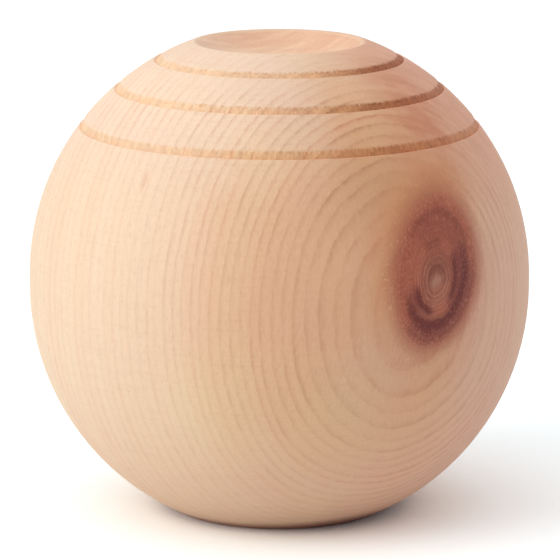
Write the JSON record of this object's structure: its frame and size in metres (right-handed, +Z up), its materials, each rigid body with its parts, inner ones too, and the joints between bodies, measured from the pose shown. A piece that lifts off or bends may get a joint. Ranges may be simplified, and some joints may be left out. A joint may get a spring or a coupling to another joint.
{
  "type": "wooden ball",
  "caption": "Turned softwood ball that stands on a flat foot, with a shallow dished top and ring grooves cut level round its shoulder; a desk ornament or scent holder.",
  "frame": {"origin": "centre of the flat foot, on the surface that the ball rests on", "axes": "+Z up along the turning axis; -Y towards the side that the picture shows"},
  "size_m": [0.1, 0.1, 0.0942],
  "materials": {
    "wood": "fine sanded, unvarnished"
  },
  "bodies": {
    "root": {"ball": "wood"}
  },
  "joints": []
}
